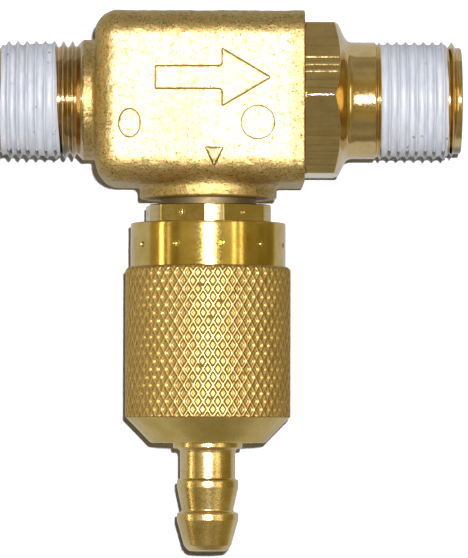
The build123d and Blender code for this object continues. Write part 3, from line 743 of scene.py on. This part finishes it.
def make_nipple():
    half = [0.0, 0.24, 0.48, 0.69, 1.1, 2.2, 4.0, 6.0, 8.0, 10.0, 12.0, 14.0, 16.0, 18.0, 20.0, 22.0, 24.0, 26.0, 28.0, 30.0]
    deltas = sorted(set([-d for d in half[:-1]] + half))
    degs = set(np.round(np.concatenate([60 * k + np.array(deltas) for k in range(6)]) % 360, 3).tolist())
    lines = ((31.4, 0.096), (24.5, 0.09), (18.6, 0.09), (15.2, 0.05), (327.0, 0.03))
    shape = ((-1.6, 0.0), (-1.2, 0.0), (-1.12, 0.08), (-0.42, 0.92), (-0.34, 1.0), (0.1, 1.0), (0.3, 0.8), (0.8, 0.0), (1.2, 0.0))
    for at, _ in lines:
        degs = {d for d in degs if abs(d - at) > 1.7} | {round(at + o, 3) for o, _ in shape}
    degs = np.array(sorted(degs))
    phi = np.radians(degs)
    n = len(phi)
    hexr = hex_radius(phi)
    for at, high in lines:
        hexr = hexr + high * np.interp(degs - at, [o for o, _ in shape], [h for _, h in shape], left=0, right=0)
    rows_r, rows_x = [], []

    def row(r, x):
        rows_r.append(np.broadcast_to(r, (n,)).astype(float))
        rows_x.append(np.broadcast_to(x, (n,)).astype(float))

    for r, x in ((8.45, 37.4), (8.45, 38.4), (7.35, 38.4), (7.35, 39.8), (8.45, 39.8), (8.45, 43.9)):
        row(r, x)
    row(8.45, 44.31)
    row(9.6, 44.31)
    row(10.8, 44.31)
    cut = 12.35
    edge = np.minimum(hexr, cut)
    row(edge - 0.12, 44.31)
    row(edge - 0.03, 44.33)
    row(edge, 44.38 + 0 * hexr)
    x_left = 44.45 + np.maximum(hexr - cut, 0) * 0.8
    row(hexr, x_left)
    row(hexr, x_left + 0.15)
    x_end = 48.55 + (12.8 - hexr) * 0.465
    for f in (0.2, 0.5, 0.8):
        row(hexr, (x_left + 0.15) * (1 - f) + (x_end - 0.25) * f)
    row(hexr, x_end - 0.25)
    row(hexr, x_end - 0.06)
    row(hexr - 0.05, x_end + 0.01)
    row(hexr - 0.16, x_end + 0.07)
    base_x = 48.55 + (12.8 - 9.3) * 0.465
    r1, xx1 = hexr - 0.16, x_end + 0.07
    for f in (0.2, 0.4, 0.6, 0.8, 1.0):
        row(r1 * (1 - f) + 9.3 * f, xx1 * (1 - f) + (base_x + 0.0) * f)
    # hollow corner into the neck
    for a in (15, 30, 45, 60, 75, 90):
        t = math.radians(a)
        row(9.3 - 0.78 * math.sin(t) ** 0.9, base_x + 0.15 + 1.05 * (1 - math.cos(t)))
    for r, x in ((8.5, 51.9), (8.5, 53.2), (8.5, 54.45), (8.5, 54.6), (8.46, 54.68), (8.36, 54.74), (8.24, 54.84), (8.2, 54.95), (8.2, 55.02)):
        row(r, x)
    xs = np.concatenate([np.linspace(55.08, 66.0, 176), np.linspace(66.06, 66.9, 12)])
    X = xs[:, None] + 0 * phi
    P = phi + 0 * xs[:, None]
    bent = X - 0.24 * smooth(64.7, 65.7, X)
    r = CREST_R - ROOT_DROP * thread_depth(crest_distance(bent, P, RIGHT_CREST, RIGHT_PITCH))
    r = np.where(X < 55.25, np.minimum(r, 8.2 + (X - 55.05) * 2.0), r)
    worn = np.clip(np.cos(P + math.pi / 2), 0, 1) ** 2
    nose = np.interp(X, [65.3, 65.9, 66.32, 66.9], [8.7, 8.54, 7.78, 7.74])
    r = np.minimum(r, nose - 0.35 * worn * smooth(65.4, 65.8, X) * smooth(66.4, 66.1, X))
    for k in range(len(xs)):
        row(r[k], X[k])
    for rr, x in ((7.73, 67.0), (7.70, 67.08), (7.62, 67.15), (7.5, 67.19), (7.3, 67.2), (6.2, 67.2), (5.6, 67.2), (5.35, 67.19), (5.12, 67.1), (5.02, 66.95), (5.0, 66.8), (5.0, 62.0), (5.0, 54.0), (5.0, 46.0), (5.0, 38.0), (5.0, 37.5), (5.08, 37.4), (5.2, 37.4)):
        row(rr, x)
    R, S = np.array(rows_r), np.array(rows_x)
    co = around_x(R, S, phi + 0 * R)
    return build("outlet_hexagon_nipple", co.reshape(-1, 3), grid_quads(len(R), n), MAT_BAR, "body", ("outlet_nipple",), sharp=38)


def make_tape(name, left, right, first, pitch, sag, replaces, seed, bare_low=29.0, bare_high=12.0):
    """Tape drawn tight over the crests; it has split over them at the bottom and, a little, at the top."""
    n = 160
    phi = np.arange(n) * TAU / n
    span = float(np.mean(right(phi) - left(phi)))
    m = int(span / pitch * 17) + 2
    s = np.linspace(0, 1, m)[:, None]
    X = left(phi) * (1 - s) + right(phi) * s
    P = phi + 0 * s
    d = crest_distance(X, P, first, pitch)
    t = np.clip(1 - d / 0.5, 0, 1)
    peak = t ** 2.0
    low = np.degrees(np.abs((P + math.pi / 2 + math.pi) % TAU - math.pi))
    high = np.degrees(np.abs((P - math.pi / 2 + math.pi) % TAU - math.pi))
    split = np.maximum(smooth(bare_low, bare_low - 11, low), smooth(bare_high, bare_high - 6, high) * 0.8)
    base = sag(X)
    crest = CREST_R + 0.035 - split * 0.20
    r = base + (crest - base) * peak
    metal = CREST_R - ROOT_DROP * thread_depth(d)
    metal = np.minimum(metal, 7.55 + X * 0.9) if replaces[0] == "inlet_tape" else metal
    r = np.maximum(r, metal + 0.04 - split * 0.30)
    pts = np.stack([X * 1.0, 8.5 * P, 0 * X], -1).reshape(-1, 3)
    r += 0.022 * fractal(pts * np.array([1.0, 0.25, 1.0]), 1.3, seed, 3).reshape(r.shape)
    # edges of the turns of tape, one over the other
    for k in range(3):
        at = left(phi) + span * (0.22 + 0.27 * k) + 0.4 * lead(phi)
        r += 0.028 * smooth(-0.05, 0.05, X - at) * smooth(1.6, 0.6, X - at)
    end = np.minimum(s * span, (1 - s) * span)
    r = r - 0.05 * smooth(0.12, 0.0, end)
    # the hidden inside needs fewer rows
    keep = np.unique(np.append(np.arange(0, m, 6), m - 1))
    inner = np.minimum(r - 0.10, base - 0.12)[keep]
    R = np.concatenate([r, inner[::-1]])
    S = np.concatenate([X, X[keep][::-1]])
    co = around_x(R, S, phi + 0 * R)
    return build(name, co.reshape(-1, 3), grid_quads(len(R), n), MAT_TAPE, "body", replaces)


# ---------------------------------------------------------------------------
# Stem barrel, knob and hose tail
# ---------------------------------------------------------------------------
def dent(co, centres, radius, depth_r):
    """Presses the outside of a lathe mesh in where small balls stand on it."""
    for c in centres:
        v = co - np.array(c)
        dist = np.linalg.norm(v, axis=-1)
        ax = np.array([KX, 0.0])
        rad = co[..., :2] - ax
        rr = np.linalg.norm(rad, axis=-1)
        inside = dist < radius * 1.35
        if not inside.any():
            continue
        reach = np.sqrt(np.maximum(radius ** 2 - np.minimum(dist, radius) ** 2, 0))
        lip = 0.035 * np.exp(-((dist - radius * 1.08) / (radius * 0.12)) ** 2)
        drop = np.where(inside, np.minimum(reach * 0.9, depth_r) - lip, 0.0)
        k = (rr - drop) / np.maximum(rr, 1e-9)
        co[..., :2] = ax + rad * k[..., None]
    return co


def mark_ring(count, start_deg, r, z):
    out = []
    for k in range(count):
        a = math.radians(start_deg + 360.0 / count * k)
        out.append((KX + r * math.cos(a), r * math.sin(a), z))
    return out


def make_stem():
    outer = [(6.95, -9.72, 0.3), (6.95, -10.5), (5.9, -10.5), (5.9, -11.9), (6.95, -11.9), (6.95, -15.4, 0.05), (9.5, -15.4, 0.22)]
    low = [(9.5, -18.9), (8.4, -18.9), (8.4, -22.15), (9.5, -22.15), (9.5, -22.6), (8.4, -22.6), (8.4, -23.9), (9.5, -23.9), (9.5, -24.3), (7.95, -24.3),
           (7.95, -37.7, 0.3), (7.6, -38.0), (5.15, -38.0), (5.15, -34.0), (4.6, -34.0), (4.6, -23.0), (1.6, -23.0), (1.6, -19.2), (3.0, -17.8), (3.0, -9.72)]
    # corners inside the knob stay sharp, so that the rows go where they are seen
    prof = soften(outer + [(p[0], p[1], p[2] if len(p) > 2 else 0) for p in low], 0.06)
    # more rows where the marks are
    dense = []
    for k in range(len(prof)):
        a, b = prof[k], prof[(k + 1) % len(prof)]
        dense.append(a)
        if abs(a[0] - 9.5) < 1e-6 and abs(b[0] - 9.5) < 1e-6 and a[1] > -18.9 and b[1] > -19 and abs(a[1] - b[1]) > 1:
            for z in np.arange(a[1] - 0.35, b[1] + 0.3, -0.09):
                if abs(z + 16.7) < 0.62:
                    dense.append(np.array([9.5, z]))
            dense += [np.array([9.5, -18.38]), np.array([9.5, -18.40])]
    prof = np.array(dense)
    n = 540
    phi = np.arange(n) * TAU / n
    # six spanner flats; phi is turned from -Y towards +X
    off = (phi - math.radians(35.15) + math.pi / 6) % (math.pi / 3) - math.pi / 6
    flat = 8.85 / np.cos(off)
    R = prof[:, 0][:, None] + 0 * phi
    Z = prof[:, 1][:, None] + 0 * phi
    on_flats = (prof[:, 1] < -15.35) & (prof[:, 1] > -18.39) & (prof[:, 0] > 8.9)
    top_chamfer = np.clip((-15.4 - Z) * 1.6, 0, 0.35)
    R[on_flats] = np.minimum(R, np.minimum(flat, flat - 0.22 + top_chamfer))[on_flats]
    co = around_z(R, Z, phi + 0 * R)
    marks = [(KX + 8.95 * math.cos(math.radians(5.15 + 60 * k)), 8.95 * math.sin(math.radians(5.15 + 60 * k)), -16.7) for k in range(6)]
    co = dent(co, marks, 0.36, 0.30)
    skirt = (prof[:, 1] < -33.9) & (prof[:, 0] < 5.3)
    co[skirt, :, 1] = np.clip(co[skirt, :, 1], -4.7, 4.7)
    return build("stem_barrel", co.reshape(-1, 3), grid_quads(len(prof), n), MAT_BARREL, "body", ("valve_stem",), sharp=24)


KNURLS, PER = 52, 10


def make_knob():
    n = KNURLS * PER
    phi = np.arange(n) * TAU / n
    top, bottom = -24.4, -46.2
    pitch = 2.31
    step = pitch / PER
    inner = soften([(5.35, -50.0, 0), (5.15, -50.0), (5.15, -46.8, 0), (9.6, -46.8, 0), (9.6, -33.0, 0), (8.3, -33.0), (8.0, -33.3), (8.0, -26.4), (8.3, -26.1), (9.6, -26.1, 0),
                    (9.6, -21.42, 0), (10.15, -21.42, 0), (10.15, -20.38, 0), (9.6, -20.38, 0), (9.6, -18.0, 0.2), (11.08, -18.0, 0)], 0.08)[1:-1]
    collar = [(11.3 - 0.22, -18.0), (11.3 - 0.14, -18.02), (11.3 - 0.06, -18.07), (11.3 - 0.015, -18.15), (11.3, -18.25), (11.3, -18.6), (11.3, -19.4), (11.3, -20.3)]
    collar += [(11.3, z) for z in np.arange(-20.5, -22.12, -0.1)]
    collar += [(11.3, z) for z in (-22.4, -23.2, -24.0, -24.2, -24.28, -24.35)]
    prof = [tuple(p) for p in inner] + collar
    rows_r = [np.full(n, p[0]) for p in prof]
    rows_z = [np.full(n, p[1]) for p in prof]
    first_knurl = len(rows_r)
    # knurl: raised lines crossing over sunk diamonds
    zk = np.arange(0, int((top - bottom) / step) + 1)
    col = np.arange(n)
    for j in zk:
        z = top - 0.02 - j * step
        u = col / PER
        v = j / PER
        u = u + 0.022 * np.sin(TAU * (3 * col / n + 0.23 * v)) + 0.018 * np.sin(TAU * (17 * col / n - 0.61 * v))
        a = np.abs((u + v) % 1.0 - 0.5)
        b = np.abs((u - v) % 1.0 - 0.5)
        near = 0.5 - np.maximum(a, b)
        pit = smooth(0.03, 0.27, near)
        r = 12.05 - (0.29 + 0.04 * np.sin(TAU * (11 * col / n + 0.37 * v))) * pit + 0.05 * smooth(0.27, 0.48, near)
        limit = min(12.05, 11.62 + (top - z) * 1.0, 12.05 - (bottom + 0.05 - z) * 1.0 if z < bottom + 0.05 else 12.05)
        rows_r.append(np.minimum(r, limit))
        rows_z.append(np.full(n, z))
    last_knurl = len(rows_r)
    z_last = float(rows_z[-1][0])
    for z, r in ((bottom - 0.10, 11.93), (bottom - 0.25, 11.78), (bottom - 0.42, 11.62), (bottom - 1.4, 10.66), (bottom - 2.6, 9.50), (bottom - 3.5, 8.63), (-49.86, 8.46), (-49.93, 8.38), (-49.98, 8.27), (-50.0, 8.12),
                 (-50.0, 7.6), (-50.0, 6.4), (-50.0, 5.35)):
        if z < z_last - 0.03:
            rows_r.append(np.full(n, r))
            rows_z.append(np.full(n, z))
    R, Z = np.array(rows_r), np.array(rows_z)
    co = around_z(R, Z, phi + 0 * R)
    band = slice(len(inner), first_knurl)
    part = co[band].copy()
    co[band] = dent(part, mark_ring(11, -81.2, 11.38, -21.3), 0.40, 0.36)
    m = len(R)
    quads = grid_quads(m, n)
    j = quads[:, 0] // n
    i = quads[:, 0] % n
    in_knurl = (j >= first_knurl) & (j < last_knurl - 1)
    jj, ii = (j - first_knurl)[in_knurl], i[in_knurl]
    u, v = (ii + 0.5) / PER, (jj + 0.5) / PER
    fa = 0.5 - np.abs((u + v) % 1.0 - 0.5)
    fb = 0.5 - np.abs((u - v) % 1.0 - 0.5)
    k = quads[in_knurl]
    back = fa < fb
    # quad corners: (j,i), (j,i+1), (j+1,i+1), (j+1,i)
    t1 = np.where(back[:, None], k[:, [0, 1, 3]], k[:, [0, 1, 2]])
    t2 = np.where(back[:, None], k[:, [1, 2, 3]], k[:, [0, 2, 3]])
    return build("knurled_knob", co.reshape(-1, 3), quads[~in_knurl], MAT_KNOB, "knob", ("metering_knob",), np.concatenate([t1, t2]), sharp=60)


def make_tail():
    outer = [(3.2, -26.0, 0.2), (3.4, -26.2), (3.4, -29.4), (4.3, -29.4), (4.5, -29.6), (4.5, -30.2), (3.5, -30.2), (3.5, -31.4), (4.5, -31.4), (4.5, -32.0),
             (3.5, -32.0), (3.5, -33.2), (4.5, -33.2), (4.5, -35.8), (5.05, -35.8), (5.05, -41.48, 0), (5.05, -41.52, 0), (5.05, -44.5), (7.2, -44.5), (7.2, -46.1), (5.05, -46.1), (5.05, -50.8, 0.28),
             (4.5, -50.8, 0.04), (4.12, -51.0), (4.03, -51.4, 0.3), (4.03, -55.25, 0.25), (4.42, -55.38, 0.1), (4.48, -55.62, 0.12), (4.48, -56.4, 0.5), (3.72, -59.9, 0.3), (4.42, -60.2, 0.1),
             (4.48, -60.42, 0.12), (4.48, -61.2, 0.5), (3.45, -64.9, 0.5), (2.95, -65.5, 0.4), (2.6, -65.72, 0.15), (2.25, -65.75, 0.12), (1.9, -65.3, 0.1), (1.9, -28.0), (1.2, -27.6), (1.2, -26.0)]

    def flats(co):
        sel = (co[..., 2] > -41.5) & (co[..., 2] < -35.75)
        co[..., 1] = np.where(sel, np.clip(co[..., 1], -4.6, 4.6), co[..., 1])
        return co
    return lathe("barbed_hose_tail", outer, "z", 200, MAT_TAIL, "tail", ("hose_tail",), radius=0.07, tweak=flats)


make_casting()
make_reliefs()
make_inlet_end()
make_nipple()
make_tape("inlet_thread_tape", lambda p: 0.35 + 0.05 * np.sin(p * 3), lambda p: 8.52 - 0.34 * np.sin(p) + 0.04 * np.sin(5 * p),
          LEFT_CREST, LEFT_PITCH, lambda x: 7.95 + 0.24 * smooth(1.5, 7.5, x), ("inlet_tape",), 301)
make_tape("outlet_thread_tape", lambda p: 55.42 + 0.03 * np.sin(p * 4), lambda p: 65.12 - 0.12 * np.sin(p) + 0.05 * np.sin(7 * p),
          RIGHT_CREST, RIGHT_PITCH, lambda x: 8.16 - 0.05 * smooth(56, 66, x), ("outlet_tape",), 502)
make_stem()
make_knob()
make_tail()

# ---------------------------------------------------------------------------
# Carried-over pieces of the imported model
# ---------------------------------------------------------------------------
INNER = {"jet_nozzle": MAT_STEEL, "nozzle_o_ring": MAT_RUBBER, "diffuser_insert": MAT_BARREL, "nipple_o_ring": MAT_RUBBER, "stem_o_ring": MAT_RUBBER,
         "dust_o_ring": MAT_RUBBER, "check_ball": MAT_STEEL, "check_spring": MAT_STEEL, "spring_retainer": MAT_PLASTIC, "metering_needle": MAT_STEEL,
         "tail_o_ring_upper": MAT_RUBBER, "tail_o_ring_lower": MAT_RUBBER, "thrust_spring": MAT_STEEL, "thrust_washer": MAT_PLASTIC, "snap_ring": MAT_STEEL}
for node, mat in INNER.items():
    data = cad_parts[node].data
    data.materials.clear()
    data.materials.append(mat)

# ---------------------------------------------------------------------------
# Camera
# ---------------------------------------------------------------------------
ELEV, AZ, ROLL = math.radians(2.0), math.radians(0.3), math.radians(0.12)
DIST = 730.0
PX = 0.146                # mm per pixel at the flow axis
fwd = Vector((math.sin(AZ) * math.cos(ELEV), math.cos(AZ) * math.cos(ELEV), math.sin(ELEV)))
right = fwd.cross(Vector((0, 0, 1))).normalized()
up = right.cross(fwd).normalized()
r2 = right * math.cos(ROLL) + up * math.sin(ROLL)
u2 = up * math.cos(ROLL) - right * math.sin(ROLL)
anchor = Vector((KX, 0.0, 0.0))
target = anchor - r2 * ((208.5 - 234.0) * PX) - u2 * ((279.0 - 100.3) * PX)
eye = target - fwd * DIST
cam_data = bpy.data.cameras.new("photo_camera")
cam_data.sensor_width = 36.0
cam_data.lens = 36.0 * DIST / (558 * PX)
cam_data.clip_start = 0.05
cam_data.clip_end = 20.0
cam = bpy.data.objects.new("photo_camera", cam_data)
bpy.context.scene.collection.objects.link(cam)
rot = Matrix((r2, u2, -fwd)).transposed().to_4x4()
cam.matrix_world = Matrix.Translation(eye * 0.001) @ rot
bpy.context.scene.camera = cam


# ---------------------------------------------------------------------------
# Floor, light and surroundings
# ---------------------------------------------------------------------------
def make_floor():
    """The pale sheet that the part lies on, close behind it in this view."""
    m = bpy.data.materials.new("pale_sheet")
    m.use_nodes = True
    t = m.node_tree
    t.nodes.clear()
    out = t.nodes.new("ShaderNodeOutputMaterial")
    bsdf = t.nodes.new("ShaderNodeBsdfPrincipled")
    bsdf.inputs["Roughness"].default_value = 0.75
    bsdf.inputs["Specular IOR Level"].default_value = 0.15
    coord = t.nodes.new("ShaderNodeTexCoord")
    fibre = t.nodes.new("ShaderNodeTexNoise")
    fibre.inputs["Scale"].default_value = 900
    fibre.inputs["Detail"].default_value = 4
    ramp = t.nodes.new("ShaderNodeValToRGB")
    ramp.color_ramp.elements[0].position, ramp.color_ramp.elements[0].color = 0.3, (0.86, 0.86, 0.87, 1)
    ramp.color_ramp.elements[1].position, ramp.color_ramp.elements[1].color = 0.7, (0.92, 0.92, 0.92, 1)
    geo = t.nodes.new("ShaderNodeNewGeometry")
    clear = t.nodes.new("ShaderNodeBsdfTransparent")
    both = t.nodes.new("ShaderNodeMixShader")
    t.links.new(coord.outputs["Object"], fibre.inputs["Vector"])
    t.links.new(fibre.outputs["Fac"], ramp.inputs[0])
    t.links.new(ramp.outputs[0], bsdf.inputs["Base Color"])
    t.links.new(geo.outputs["Backfacing"], both.inputs[0])
    t.links.new(bsdf.outputs[0], both.inputs[1])
    t.links.new(clear.outputs[0], both.inputs[2])
    t.links.new(both.outputs[0], out.inputs["Surface"])
    me = bpy.data.meshes.new("pale_sheet")
    y, s = 0.01285, 0.9
    cx, cz = 0.034, -0.026
    me.from_pydata([(cx - s, y, cz - s), (cx + s, y, cz - s), (cx + s, y, cz + s), (cx - s, y, cz + s)], [], [(0, 1, 2, 3)])
    me.materials.append(m)
    obj = bpy.data.objects.new("pale_sheet", me)
    bpy.context.scene.collection.objects.link(obj)
    obj.visible_glossy = False


make_floor()


def area(name, place, look_at, size, power, color=(1, 1, 1), shape="DISK", size_y=None):
    data = bpy.data.lights.new(name, "AREA")
    data.shape = shape
    data.size = size
    if size_y is not None:
        data.size_y = size_y
    data.energy = power
    data.color = color
    obj = bpy.data.objects.new(name, data)
    bpy.context.scene.collection.objects.link(obj)
    obj.location = place
    obj.rotation_mode = "QUATERNION"
    obj.rotation_quaternion = (Vector(look_at) - Vector(place)).to_track_quat("-Z", "Y")
    return obj


flash_at = (eye + r2 * 20.0 + u2 * 35.0) * 0.001
area("flash", flash_at, (target.x * 0.001, 0, target.z * 0.001), 0.014, 7.0, (0.97, 0.98, 1.10))

world = bpy.data.worlds.new("room")
bpy.context.scene.world = world
world.use_nodes = True
wt = world.node_tree
wt.nodes.clear()
w_out = wt.nodes.new("ShaderNodeOutputWorld")
w_tc = wt.nodes.new("ShaderNodeTexCoord")
w_sep = wt.nodes.new("ShaderNodeSeparateXYZ")
wt.links.new(w_tc.outputs["Generated"], w_sep.inputs[0])


def w_math(op, a, b=None, clamp=False):
    n = wt.nodes.new("ShaderNodeMath")
    n.operation = op
    n.use_clamp = clamp
    for s, v in zip(n.inputs, (a, b)):
        if v is None:
            continue
        if isinstance(v, (int, float)):
            s.default_value = v
        else:
            wt.links.new(v, s)
    return n.outputs[0]


def w_range(v, a, b, lo, hi):
    n = wt.nodes.new("ShaderNodeMapRange")
    n.interpolation_type = "SMOOTHSTEP"
    wt.links.new(v, n.inputs["Value"])
    for key, val in (("From Min", a), ("From Max", b), ("To Min", lo), ("To Max", hi)):
        n.inputs[key].default_value = val
    return n.outputs[0]


front = w_math("MULTIPLY", w_sep.outputs[1], -1.0)
side = w_sep.outputs[0]
az = w_math("ARCTAN2", side, front)


def w_mix(fac, a, b):
    n = wt.nodes.new("ShaderNodeMix")
    n.data_type = "RGBA"
    wt.links.new(fac, n.inputs[0])
    for s, v in ((n.inputs[6], a), (n.inputs[7], b)):
        if isinstance(v, tuple):
            s.default_value = (*v, 1)
        else:
            wt.links.new(v, s)
    return n.outputs[2]


def w_scale(color, factor):
    n = wt.nodes.new("ShaderNodeVectorMath")
    n.operation = "SCALE"
    if isinstance(color, tuple):
        n.inputs[0].default_value = color
    else:
        wt.links.new(color, n.inputs[0])
    if isinstance(factor, (int, float)):
        n.inputs[3].default_value = factor
    else:
        wt.links.new(factor, n.inputs[3])
    return n.outputs[0]


def w_add(a, b):
    n = wt.nodes.new("ShaderNodeVectorMath")
    n.operation = "ADD"
    wt.links.new(a, n.inputs[0])
    wt.links.new(b, n.inputs[1])
    return n.outputs[0]


# what the metal sees: a dim warm room in front, the pale sheet behind, and a few upright bright strips
steep = w_range(w_math("ABSOLUTE", w_sep.outputs[2]), 0.40, 0.78, 0.0, 1.0)
room = w_mix(steep, (1.0, 0.80, 0.26), (1.0, 0.93, 0.72))
soft = wt.nodes.new("ShaderNodeTexNoise")
soft.inputs["Scale"].default_value = 2.4
soft.inputs["Detail"].default_value = 3
wt.links.new(w_tc.outputs["Generated"], soft.inputs["Vector"])
room = w_scale(room, w_range(soft.outputs["Fac"], 0.3, 0.7, 0.22, 0.38))
strips = None
for centre, half, level in ((-73.5, 3.0, 5.0), (-61, 2.6, 1.0), (39, 2.9, 2.4), (50, 2.9, 2.2), (118, 2.2, 0.6), (33, 15, 0.32), (-28, 20, 0.16)):
    dist = w_math("ABSOLUTE", w_math("SUBTRACT", az, math.radians(centre)))
    part = w_range(dist, math.radians(half), math.radians(half * 0.55), 0.0, level)
    strips = part if strips is None else w_math("ADD", strips, part)
low_band = w_range(w_math("ABSOLUTE", w_sep.outputs[2]), 0.45, 0.25, 0.0, 1.0)
strips = w_math("MULTIPLY", strips, low_band)
near = w_add(room, w_scale((1.0, 0.92, 0.62), strips))
edge = w_math("MULTIPLY", w_math("MAXIMUM", side, 0.0), 0.46)
edge = w_math("ADD", edge, w_math("MULTIPLY", w_math("MAXIMUM", w_math("MULTIPLY", side, -1.0), 0.0), 0.09))
behind = w_range(w_math("SUBTRACT", w_sep.outputs[1], edge), 0.0, 0.05, 0.0, 1.0)
seen = w_mix(behind, near, (0.57, 0.59, 0.62))
shine = wt.nodes.new("ShaderNodeBackground")
wt.links.new(seen, shine.inputs["Color"])
shine.inputs["Strength"].default_value = 1.0
# what lights the tape and the sheet: a weak, even ceiling light
fill = wt.nodes.new("ShaderNodeBackground")
fill.inputs["Color"].default_value = (0.95, 0.97, 1.0, 1)
wt.links.new(w_range(w_sep.outputs[2], -1.0, 1.0, 0.015, 0.04), fill.inputs["Strength"])
pale = wt.nodes.new("ShaderNodeBackground")
pale.inputs["Color"].default_value = (0.93, 0.93, 0.94, 1)
pale.inputs["Strength"].default_value = 1.0
path = wt.nodes.new("ShaderNodeLightPath")
lit = wt.nodes.new("ShaderNodeMixShader")
wt.links.new(path.outputs["Is Diffuse Ray"], lit.inputs[0])
wt.links.new(shine.outputs[0], lit.inputs[1])
wt.links.new(fill.outputs[0], lit.inputs[2])
last = wt.nodes.new("ShaderNodeMixShader")
wt.links.new(path.outputs["Is Camera Ray"], last.inputs[0])
wt.links.new(lit.outputs[0], last.inputs[1])
wt.links.new(pale.outputs[0], last.inputs[2])
wt.links.new(last.outputs[0], w_out.inputs["Surface"])

scene = bpy.context.scene
scene.view_settings.view_transform = "Standard"
scene.view_settings.look = "None"
scene.view_settings.exposure = 0.0
scene.view_settings.gamma = 1.0
